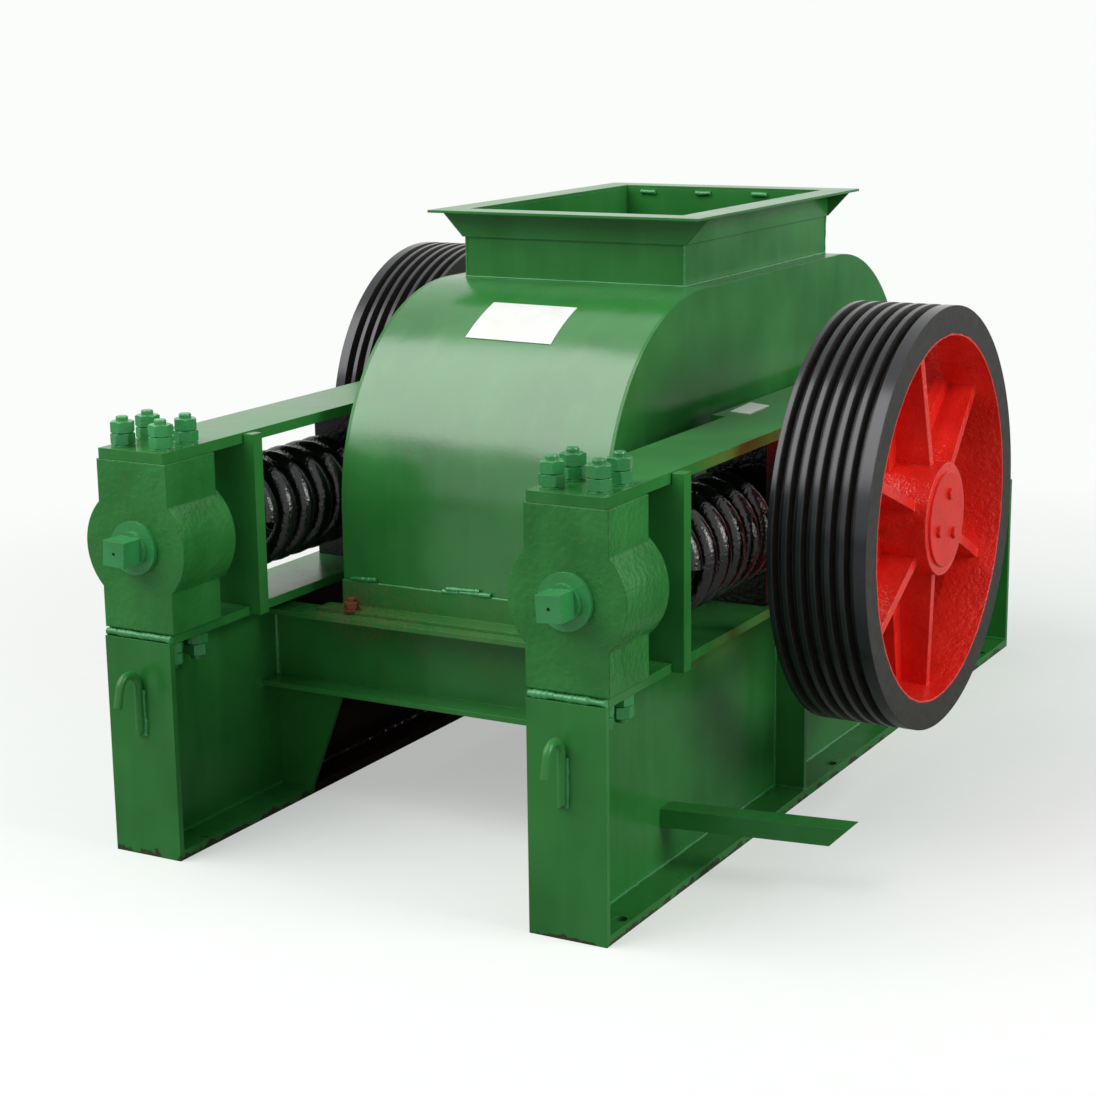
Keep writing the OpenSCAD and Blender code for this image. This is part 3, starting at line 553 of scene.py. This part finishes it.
def weldObject(name, tree, paths, radius, material, seed, pitch=8.0, step=2.6, unevenness=1.2):
    points, edges = [], []
    for path in paths:
        start = len(points)
        points += path
        edges += [(start + i, start + i + 1) for i in range(len(path) - 1)]
    guide = guideObject(name, points, edges)
    bake(guide, tree, {"Bead Radius": radius * mm, "Ripple Pitch": pitch * mm, "Ring Step": step * mm,
                       "Unevenness": unevenness * mm, "Seed": seed, "Material": material})
    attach(guide, "frame")
    return guide


bead = beadTree()
roots, ends, beams, cappings = weldPaths()
weldObject("welds_girder_right", bead, roots, beads["rootRadius"], girderBeadEnamelWithHighlight, 1.0, 10.0, 3.3)
weldObject("welds_girder_left", bead, mirrored(roots), beads["rootRadius"], girderBeadEnamelWithHighlight, 2.0, 10.0, 3.3)
weldObject("welds_plates", bead, ends + mirrored(ends), beads["plateRadius"], girderBeadEnamelWithHighlight, 3.0)
weldObject("welds_crossbeams", bead, beams + mirrored(beams), beads["plateRadius"] + 1.4, pooledEnamelWithHighlight, 4.0)
weldObject("welds_end_caps", bead, cappings + mirrored(cappings), beads["capRadius"], pooledEnamelWithHighlight, 5.0, 9.0,
           2.6, 4.0)
weldObject("welds_housing", bead, sheetPaths(), beads["sheetRadius"], pooledEnamelWithHighlight, 6.0, 7.0)
weldObject("welds_seam_patches", bead, patchPaths(), beads["patchRadius"], pooledEnamelWithHighlight, 8.0, 6.0, 2.0, 5.0)
weldObject("welds_hooks", bead, hookPaths(), 3.8, pooledEnamelWithHighlight, 7.0, 6.0, 2.0, 4.5)
print("weld beads laid")


# Studs, nuts and bolts

def fastenerTree():
    tree, given = newTree("hex_fasteners", [
        ("Across Flats", "NodeSocketFloat", 0.036), ("Nut Height", "NodeSocketFloat", 0.019),
        ("Washer Radius", "NodeSocketFloat", 0.022), ("Washer Thickness", "NodeSocketFloat", 0.004),
        ("Rod Radius", "NodeSocketFloat", 0.012), ("Thread Pitch", "NodeSocketFloat", 0.003),
        ("Material", "NodeSocketMaterial", None)])
    flats = given["Across Flats"]
    corner = treeMath(tree, "DIVIDE", flats, math.sqrt(3))
    crown = treeMath(tree, "MULTIPLY", flats, 0.49)
    wide = treeMath(tree, "MULTIPLY_ADD", given["Nut Height"], 1.9, crown)
    prism = addNode(tree, "GeometryNodeMeshCylinder", {"Vertices": 6},
                    {"Radius": corner, "Depth": given["Nut Height"]})
    half = treeMath(tree, "MULTIPLY", given["Nut Height"], 0.5)
    below = addNode(tree, "ShaderNodeCombineXYZ", {}, {"Z": treeMath(tree, "MULTIPLY", half, -1.0)})
    cones = []
    for top, bottom in ((crown, wide), (wide, crown)):
        cone = addNode(tree, "GeometryNodeMeshCone", {"Vertices": 36},
                       {"Radius Top": top, "Radius Bottom": bottom, "Depth": given["Nut Height"]})
        cones.append(addNode(tree, "GeometryNodeTransform", {},
                             {"Geometry": cone.outputs[0], "Translation": below.outputs[0]}))
    first = addNode(tree, "GeometryNodeMeshBoolean", {"operation": "INTERSECT", "solver": "EXACT"})
    for mesh in (prism, cones[0], cones[1]):
        tree.links.new(mesh.outputs[0], first.inputs["Mesh 2"])
    washer = addNode(tree, "GeometryNodeMeshCylinder", {"Vertices": 40},
                     {"Radius": given["Washer Radius"], "Depth": given["Washer Thickness"]})
    kind = addNode(tree, "GeometryNodeInputNamedAttribute", {"data_type": "INT", "Name": "kind"}).outputs[0]
    axis = addNode(tree, "GeometryNodeInputNamedAttribute",
                   {"data_type": "FLOAT_VECTOR", "Name": "axis"}).outputs[0]
    turn = addNode(tree, "GeometryNodeInputNamedAttribute",
                   {"data_type": "FLOAT", "Name": "turn"}).outputs[0]
    facing = addNode(tree, "FunctionNodeAlignRotationToVector", {"axis": "Z"}, {"Vector": axis}).outputs[0]
    spin = addNode(tree, "FunctionNodeAxisAngleToRotation", {"Axis": (0, 0, 1)}, {"Angle": turn}).outputs[0]
    rotation = addNode(tree, "FunctionNodeRotateRotation", {"rotation_space": "LOCAL"},
                       {"Rotation": facing, "Rotate By": spin}).outputs[0]
    parts = []
    for code, shape in ((1, first), (2, washer)):
        chosen = addNode(tree, "FunctionNodeCompare", {"data_type": "INT", "operation": "EQUAL", "B": code})
        chosen.inputs[3].default_value = code
        tree.links.new(kind, chosen.inputs[2])
        parts.append(addNode(tree, "GeometryNodeInstanceOnPoints", {}, {
            "Points": given["Geometry"], "Selection": chosen.outputs[0], "Instance": shape.outputs[0],
                                                                        "Rotation": rotation}))
    rods = addNode(tree, "GeometryNodeMeshToCurve", {}, {"Mesh": given["Geometry"]})
    step = treeMath(tree, "MULTIPLY", given["Thread Pitch"], 0.5)
    rings = addNode(tree, "GeometryNodeResampleCurve", {"mode": "LENGTH"},
                    {"Curve": rods.outputs[0], "Length": step})
    index = addNode(tree, "GeometryNodeInputIndex").outputs[0]
    valley = treeMath(tree, "MULTIPLY", treeMath(tree, "MODULO", index, 2.0), 0.09)
    end = addNode(tree, "GeometryNodeCurveEndpointSelection").outputs[0]
    tapered = treeMath(tree, "MULTIPLY", end, 0.14)
    scale = treeMath(tree, "SUBTRACT", treeMath(tree, "SUBTRACT", 1.0, valley), tapered)
    radius = treeMath(tree, "MULTIPLY", scale, given["Rod Radius"])
    ring = addNode(tree, "GeometryNodeCurvePrimitiveCircle", {"Resolution": 20, "Radius": 1.0})
    rod = addNode(tree, "GeometryNodeCurveToMesh", {"Fill Caps": True},
                  {"Curve": rings.outputs[0], "Profile Curve": ring.outputs[0]})
    tree.links.new(radius, rod.inputs["Scale"])
    joined = addNode(tree, "GeometryNodeJoinGeometry")
    for part in (rod, parts[1], parts[0]):
        tree.links.new(part.outputs[0], joined.inputs[0])
    real = addNode(tree, "GeometryNodeRealizeInstances", {}, {"Geometry": joined.outputs[0]})
    painted = addNode(tree, "GeometryNodeSetMaterial", {},
                      {"Geometry": real.outputs[0], "Material": given["Material"]})
    addNode(tree, "NodeGroupOutput", {}, {"Geometry": painted.outputs[0]})
    return tree


fasteners = fastenerTree()
nutShape, washerShape, bare = 1, 2, 0


def fastenerObject(name, stacks, sizes, material, body, seed):
    # each stack: origin, direction, list of (kind, distance along), rod from and to
    chance = random.Random(seed)
    points, edges, kinds, turns, axes = [], [], [], [], []
    for origin, direction, items, rod in stacks:
        along = Vector(direction)
        for kind, distance in items:
            points.append(tuple(Vector(origin) + along * distance))
            kinds.append(kind)
            turns.append(chance.uniform(0, math.pi / 3))
            axes.append(tuple(along))
        if rod:
            start = len(points)
            for distance in rod:
                points.append(tuple(Vector(origin) + along * distance))
                kinds.append(bare)
                turns.append(0.0)
                axes.append(tuple(along))
            edges.append((start, start + 1))
    guide = guideObject(name, points, edges, {
        "kind": ("INT", kinds), "turn": ("FLOAT", turns), "axis": ("FLOAT_VECTOR", axes)})
    bake(guide, fasteners, dict(sizes, Material=material))
    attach(guide, body)
    return guide


studs = {"x": 41, "y": 34, "midY": -892, "nutMm": 20, "flatsMm": 37, "washerMm": 3, "washerR": 21,
         "rodR": 11,
         "plateTop": 721, "flangeUnder": 389.5, "tipMm": 9}


def studStacks():
    stacks = []
    nut, washer = studs["nutMm"], studs["washerMm"]
    for side in (-1, 1):
        for dx in (-studs["x"], studs["x"]):
            for dy in (-studs["y"], studs["y"]):
                x, y = side * girder["x"] + dx, studs["midY"] + dy
                top = [(washerShape, washer / 2), (nutShape, washer + nut / 2),
                       (nutShape, washer + nut * 1.5 + 0.6)]
                stacks.append(((x, y, studs["plateTop"]), (0, 0, 1), top,
                               (-6, washer + nut * 2 + studs["tipMm"])))
                low = [(washerShape, washer / 2), (nutShape, washer + nut / 2),
                       (nutShape, washer + nut * 1.5 + 0.6)]
                stacks.append(((x, y, studs["flangeUnder"]), (0, 0, -1), low,
                               (-6, washer + nut * 2 + studs["tipMm"])))
    return stacks


fastenerObject("tie_studs_and_nuts", studStacks(), {
    "Across Flats": studs["flatsMm"] * mm, "Nut Height": studs["nutMm"] * mm,
                                                    "Washer Radius": studs["washerR"] * mm,
    "Washer Thickness": studs["washerMm"] * mm, "Rod Radius": studs["rodR"] * mm, "Thread Pitch": 3 * mm},
    pooledEnamelWithHighlight, "frame", 11)

baseBolts = {"x": 230, "front": -588, "rear": 919, "z": 378}
baseStacks = [((s * baseBolts["x"], y, baseBolts["z"]), (0, 0, 1), [(washerShape, 1.5), (nutShape, 10)],
               (-6, 24))
              for s in (-1, 1) for y in (baseBolts["front"], baseBolts["rear"])]
fastenerObject("base_angle_bolts", baseStacks, {
    "Across Flats": 24 * mm, "Nut Height": 13 * mm, "Washer Radius": 16 * mm, "Washer Thickness": 3 * mm,
    "Rod Radius": 8 * mm, "Thread Pitch": 2 * mm}, rustySteel, "frame", 12)

def discTree():
    tree, given = newTree("cap_disc", [
        ("Radius", "NodeSocketFloat", 0.086), ("Thickness", "NodeSocketFloat", 0.004),
                                       ("Material", "NodeSocketMaterial", None)])
    disc = addNode(tree, "GeometryNodeMeshCylinder", {"Vertices": 96},
                   {"Radius": given["Radius"], "Depth": given["Thickness"]})
    turned = addNode(tree, "GeometryNodeTransform", {"Rotation": (0, math.pi / 2, 0)},
                     {"Geometry": disc.outputs[0]})
    painted = addNode(tree, "GeometryNodeSetMaterial", {},
                      {"Geometry": turned.outputs[0], "Material": given["Material"]})
    addNode(tree, "NodeGroupOutput", {}, {"Geometry": painted.outputs[0]})
    return tree


# The drawn cap is 4 mm thick and the solid 10 mm, so that the bolt heads end where the solid does
discs = discTree()
capBolts = {"circleR": 45, "inner": 744, "face": 748, "start": 78, "height": 6, "capR": 84}
for side, body, y in ((1, "front_roll", rollerAxes[0]), (-1, "rear_roll", rollerAxes[1])):
    cap = guideObject("bolted_cap_" + ("right" if side > 0 else "left"), [(0, 0, 0)], [])
    bake(cap, discs,
         {"Radius": capBolts["capR"] * mm, "Thickness": (capBolts["face"] - capBolts["inner"]) * mm,
                      "Material": capEnamel})
    cap.data.transform(Matrix.Translation(Vector((side * (capBolts["inner"] + capBolts["face"]) / 2, y,
                                                  shaftZ)) * mm))
    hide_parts("hub_cap_" + ("right" if side > 0 else "left"))
    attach(cap, body)
    stacks = []
    for i in range(3):
        angle = math.radians(capBolts["start"] + 120 * i)
        place = (side * capBolts["face"], y + capBolts["circleR"] * math.cos(angle),
                 shaftZ + capBolts["circleR"] * math.sin(angle))
        stacks.append((place, (side, 0, 0), [(nutShape, capBolts["height"] / 2)], None))
    fastenerObject("hub_cap_bolts_" + ("right" if side > 0 else "left"), stacks, {
        "Across Flats": 19 * mm, "Nut Height": capBolts["height"] * mm}, capEnamel, body,
                   20 + side)
print("studs, nuts and bolts set")


# Coil springs

def springTree():
    tree, given = newTree("coil_spring", [
        ("Coil Radius", "NodeSocketFloat", 0.083), ("Bar Radius", "NodeSocketFloat", 0.019),
        ("Length", "NodeSocketFloat", 0.376), ("Turns", "NodeSocketFloat", 6.0),
                                          ("Rings", "NodeSocketInt", 240),
        ("Material", "NodeSocketMaterial", None)])
    line = addNode(tree, "GeometryNodeCurvePrimitiveLine", {"Start": (0, 0, 0), "End": (0, 1, 0)})
    rings = addNode(tree, "GeometryNodeResampleCurve", {"mode": "COUNT"},
                    {"Curve": line.outputs[0], "Count": given["Rings"]})
    share = addNode(tree, "GeometryNodeSplineParameter").outputs["Factor"]
    angle = treeMath(tree, "MULTIPLY", treeMath(tree, "MULTIPLY", share, given["Turns"]), 2 * math.pi)
    run = treeMath(tree, "SUBTRACT", given["Length"], treeMath(tree, "MULTIPLY", given["Bar Radius"], 2.0))
    height = treeMath(tree, "MULTIPLY_ADD", share, run, given["Bar Radius"])
    x = treeMath(tree, "MULTIPLY", treeMath(tree, "COSINE", angle), given["Coil Radius"])
    z = treeMath(tree, "MULTIPLY", treeMath(tree, "SINE", angle), given["Coil Radius"])
    where = addNode(tree, "ShaderNodeCombineXYZ", {}, {"X": x, "Y": height, "Z": z})
    placed = addNode(tree, "GeometryNodeSetPosition", {},
                     {"Geometry": rings.outputs[0], "Position": where.outputs[0]})
    upright = addNode(tree, "GeometryNodeSetCurveNormal", {"mode": "MINIMUM_TWIST"},
                      {"Curve": placed.outputs[0]})
    profile = addNode(tree, "GeometryNodeCurvePrimitiveCircle", {"Resolution": 24},
                      {"Radius": given["Bar Radius"]})
    tube = addNode(tree, "GeometryNodeCurveToMesh", {"Fill Caps": True},
                   {"Curve": upright.outputs[0], "Profile Curve": profile.outputs[0]})
    endTree(tree, tube.outputs[0], given["Material"])
    return tree


coils = springTree()
springs = {"x": 419, "yStart": -708.7, "yEnd": -332.3, "z": 553, "coilR": 83, "barR": 19, "turns": 6}
for side, name in ((1, "right"), (-1, "left")):
    coil = guideObject("coil_spring_" + name, [(0, 0, 0)], [])
    bake(coil, coils, {"Coil Radius": springs["coilR"] * mm, "Bar Radius": springs["barR"] * mm,
                       "Length": (springs["yEnd"] - springs["yStart"]) * mm,
                       "Turns": float(springs["turns"]),
                       "Material": springEnamel})
    coil.data.transform(Matrix.Translation(Vector((side * springs["x"], springs["yStart"],
                                                   springs["z"])) * mm))
    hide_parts("spring_" + name)
    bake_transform(coil)
print("springs wound")


# Blank cards

def thinSheet(name, corners, thicknessMm, material):
    # corners in millimetres as a grid of rows, the sheet is thickened along its own normal
    rows, columns = len(corners), len(corners[0])
    flat = [Vector(p) * mm for row in corners for p in row]
    normal = (flat[1] - flat[0]).cross(flat[columns] - flat[0]).normalized()
    lift = normal * thicknessMm * mm
    points = flat + [p + lift for p in flat]
    count = rows * columns
    faces = []
    for r in range(rows - 1):
        for c in range(columns - 1):
            a = r * columns + c
            faces.append((a, a + columns, a + columns + 1, a + 1))
            faces.append((a + count, a + count + 1, a + count + columns + 1, a + count + columns))
    border = [c for c in range(columns)] + [r * columns + columns - 1 for r in range(1, rows)]
    border += [(rows - 1) * columns + c for c in range(columns - 2, -1,
                                                       -1)] + [r * columns for r in range(rows - 2, 0, -1)]
    for a, b in zip(border, border[1:] + border[:1]):
        faces.append((a, b, b + count, a + count))
    mesh = bpy.data.meshes.new(name)
    mesh.from_pydata(points, [], faces)
    mesh.materials.append(material)
    piece = bpy.data.objects.new(name, mesh)
    bpy.context.scene.collection.objects.link(piece)
    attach(piece, "frame")
    return piece


def onShoulder(x, angle, lift=0.4):
    # a point on the housing's rounded front shoulder, angle from level towards the top
    radius = shoulderR + lift
    return (x, rollerAxes[0] - radius * math.cos(math.radians(angle)),
            shaftZ + radius * math.sin(math.radians(angle)))


card = {"corners": ((-84.6, 68.4), (91.0, 67.9), (87.2, 51.7), (-91.3, 52.3)), "rows": 10, "columns": 10}


def cardGrid():
    (x0, a0), (x1, a1), (x2, a2), (x3, a3) = card["corners"]
    grid = []
    for r in range(card["rows"]):
        t = r / (card["rows"] - 1)
        row = []
        for c in range(card["columns"]):
            s = c / (card["columns"] - 1)
            x = (1 - t) * ((1 - s) * x3 + s * x2) + t * ((1 - s) * x0 + s * x1)
            angle = (1 - t) * ((1 - s) * a3 + s * a2) + t * ((1 - s) * a0 + s * a1)
            row.append(onShoulder(x, angle))
        grid.append(row)
    return grid


tag = {"corners": (((337, -179, 721.1), (381, -189, 721.1)), ((329, -73, 721.1), (376, -92, 721.1)))}
sheetMm = 1.2
thinSheet("blank_card_on_shoulder", cardGrid(), sheetMm, cardPlastic)
thinSheet("blank_tag_on_top_plate", tag["corners"], sheetMm, cardPlastic)
print("cards laid")


# Floor, light and camera

studio = {
    "floorPale": "#F4F6F2", "floorWhite": "#F9FBF7", "floorBounce": "#A9ACA6", "backdrop": "#FBFDFA",
          "grainMm": 60,
    "glowFrom": 1.4, "glowTo": 2.9, "glowNear": 0.45, "reach": 14.0, "dome": "#E6EDF2", "domeStrength": 0.44,
}


def stageFloor():
    material, tree = newMaterial("pale_floor")
    coords = addNode(tree, "ShaderNodeTexCoord").outputs["Object"]
    grain = spread(tree, coords, studio["grainMm"], 3.0)
    seen = addNode(tree, "ShaderNodeLightPath").outputs["Is Camera Ray"]
    tone = blendColours(tree, seen, studio["floorBounce"],
                        blendColours(tree, grain, studio["floorPale"], studio["floorWhite"]))
    matte = addNode(tree, "ShaderNodeBsdfDiffuse", {}, {"Color": tone})
    glow = addNode(tree, "ShaderNodeEmission", {"Color": toLinear(studio["backdrop"]), "Strength": 1.0})
    distance = addNode(tree, "ShaderNodeVectorMath", {"operation": "LENGTH"}, {0: coords}).outputs["Value"]
    far = remap(tree, distance, studio["glowFrom"], studio["glowTo"], studio["glowNear"], 1)
    mixed = addNode(tree, "ShaderNodeMixShader", {}, {
        0: calc(tree, "MULTIPLY", far, seen), 1: matte.outputs[0], 2: glow.outputs[0]})
    addNode(tree, "ShaderNodeOutputMaterial", {}, {"Surface": mixed.outputs[0]})
    mesh = bpy.data.meshes.new("floor")
    reach = studio["reach"]
    mesh.from_pydata([(-reach, -reach, 0), (reach, -reach, 0), (reach, reach, 0), (-reach, reach, 0)], [],
                     [(0, 1, 2, 3)])
    mesh.materials.append(material)
    floor = bpy.data.objects.new("floor", mesh)
    bpy.context.scene.collection.objects.link(floor)


def studioWorld():
    world = bpy.data.worlds.new("studio")
    world.use_nodes = True
    tree = world.node_tree
    tree.nodes.clear()
    path = addNode(tree, "ShaderNodeLightPath").outputs
    seen = calc(tree, "MAXIMUM", calc(tree, "MAXIMUM", path["Is Camera Ray"], path["Is Glossy Ray"]),
                path["Is Transmission Ray"])
    dome = addNode(tree, "ShaderNodeBackground", {"Color": toLinear(studio["dome"]),
                                                  "Strength": studio["domeStrength"]})
    white = addNode(tree, "ShaderNodeBackground", {"Color": toLinear(studio["backdrop"]), "Strength": 1.0})
    mixed = addNode(tree, "ShaderNodeMixShader", {}, {0: seen, 1: dome.outputs[0], 2: white.outputs[0]})
    addNode(tree, "ShaderNodeOutputWorld", {}, {"Surface": mixed.outputs[0]})
    bpy.context.scene.world = world


def softLamp(name, place, target, size, power):
    lamp = bpy.data.lights.new(name, "AREA")
    lamp.shape = "SQUARE"
    lamp.size = size
    lamp.energy = power
    holder = bpy.data.objects.new(name, lamp)
    aim = (Vector(target) - Vector(place)).to_track_quat("-Z", "Y")
    holder.matrix_world = Matrix.Translation(Vector(place)) @ aim.to_matrix().to_4x4()
    bpy.context.scene.collection.objects.link(holder)


def photoCamera(view):
    yaw, pitch, roll = (math.radians(view[key]) for key in ("yaw", "pitch", "roll"))
    forward = Vector((-math.sin(yaw) * math.cos(pitch), math.cos(yaw) * math.cos(pitch), math.sin(pitch)))
    level = Vector((math.cos(yaw), math.sin(yaw), 0))
    lifted = level.cross(forward)
    right = level * math.cos(roll) + lifted * math.sin(roll)
    up = lifted * math.cos(roll) - level * math.sin(roll)
    lens = bpy.data.cameras.new("photo_camera")
    lens.lens = view["lens"]
    lens.sensor_width = 36.0
    lens.clip_end = 100.0
    holder = bpy.data.objects.new("photo_camera", lens)
    turn = Matrix((right, up, -forward)).transposed()
    holder.matrix_world = Matrix.Translation(Vector(view["place"]) * mm) @ turn.to_4x4()
    bpy.context.scene.collection.objects.link(holder)
    bpy.context.scene.camera = holder


stageFloor()
studioWorld()
softLamp("key_lamp", (-2.2, -2.9, 4.5), (0, -0.4, 0.7), 4.8, 255)
softLamp("side_lamp", (5.2, -0.2, 3.0), (0.4, 0, 0.5), 2.6, 155)
photoCamera({"place": (2063.22, -3959.16, 1425.51), "yaw": 29.18, "pitch": -12.98, "roll": -0.76,
             "lens": 75.59})
bpy.context.scene.view_settings.view_transform = "Standard"
print("stage ready")
